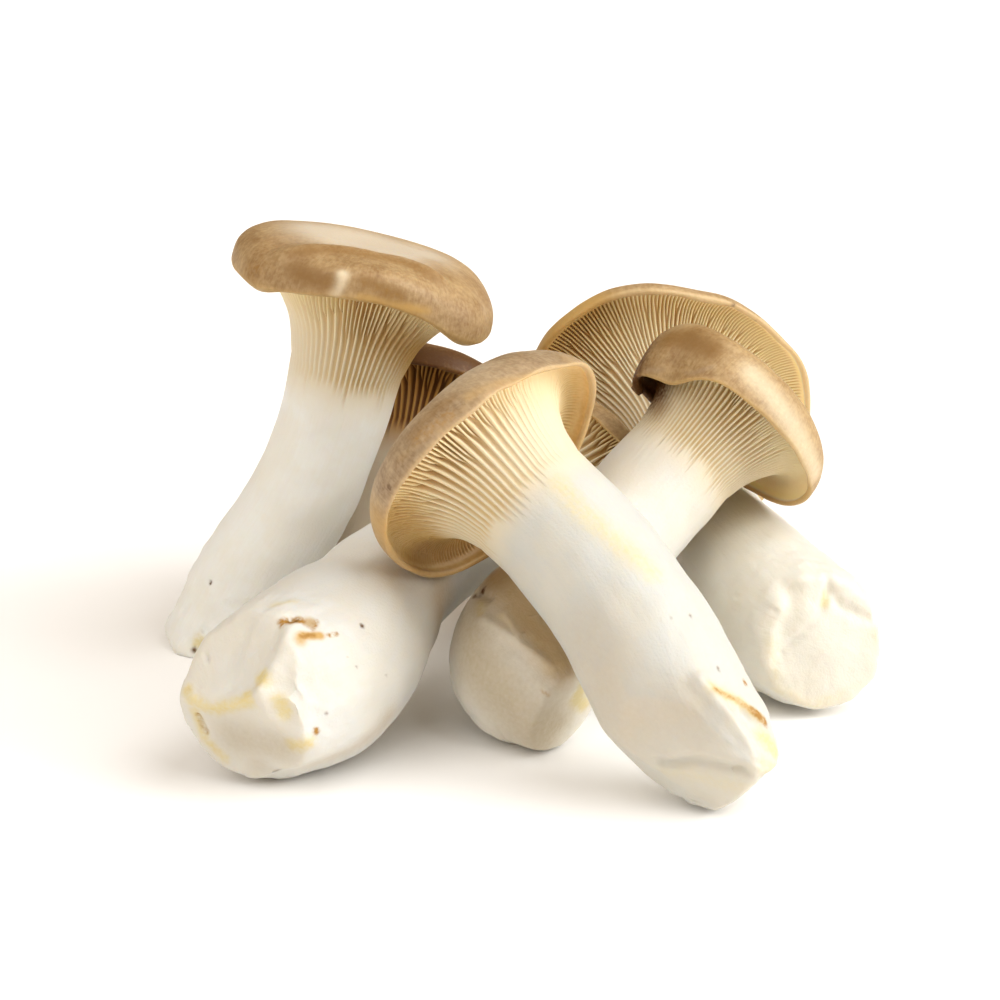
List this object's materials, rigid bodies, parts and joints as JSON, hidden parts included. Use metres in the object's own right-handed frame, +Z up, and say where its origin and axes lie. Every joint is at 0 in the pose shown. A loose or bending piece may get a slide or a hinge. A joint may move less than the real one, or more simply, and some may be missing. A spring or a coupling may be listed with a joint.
{
  "type": "king oyster mushroom cluster",
  "caption": "Heap of whole king oyster mushrooms with thick pale stems, knife-cut bases and flared gilled caps, lying as picked and trimmed.",
  "frame": {"origin": "on the surface that the heap lies on, under the middle of its bounds", "axes": "+Z up; -Y towards the side that shows the caps' gills best; +X to the right from there"},
  "size_m": [0.1886, 0.1912, 0.1151],
  "materials": {
    "standing_flesh": "matt, slightly velvety",
    "left_flesh": "matt, slightly velvety",
    "middle_flesh": "matt, slightly velvety",
    "right_flesh": "matt, slightly velvety",
    "front_flesh": "matt, slightly velvety",
    "rear_flesh": "matt, slightly velvety"
  },
  "bodies": {
    "root": {"standing_mushroom": "standing_flesh", "left_mushroom": "left_flesh", "middle_mushroom": "middle_flesh", "right_mushroom": "right_flesh", "front_mushroom": "front_flesh", "rear_mushroom": "rear_flesh"}
  },
  "joints": []
}
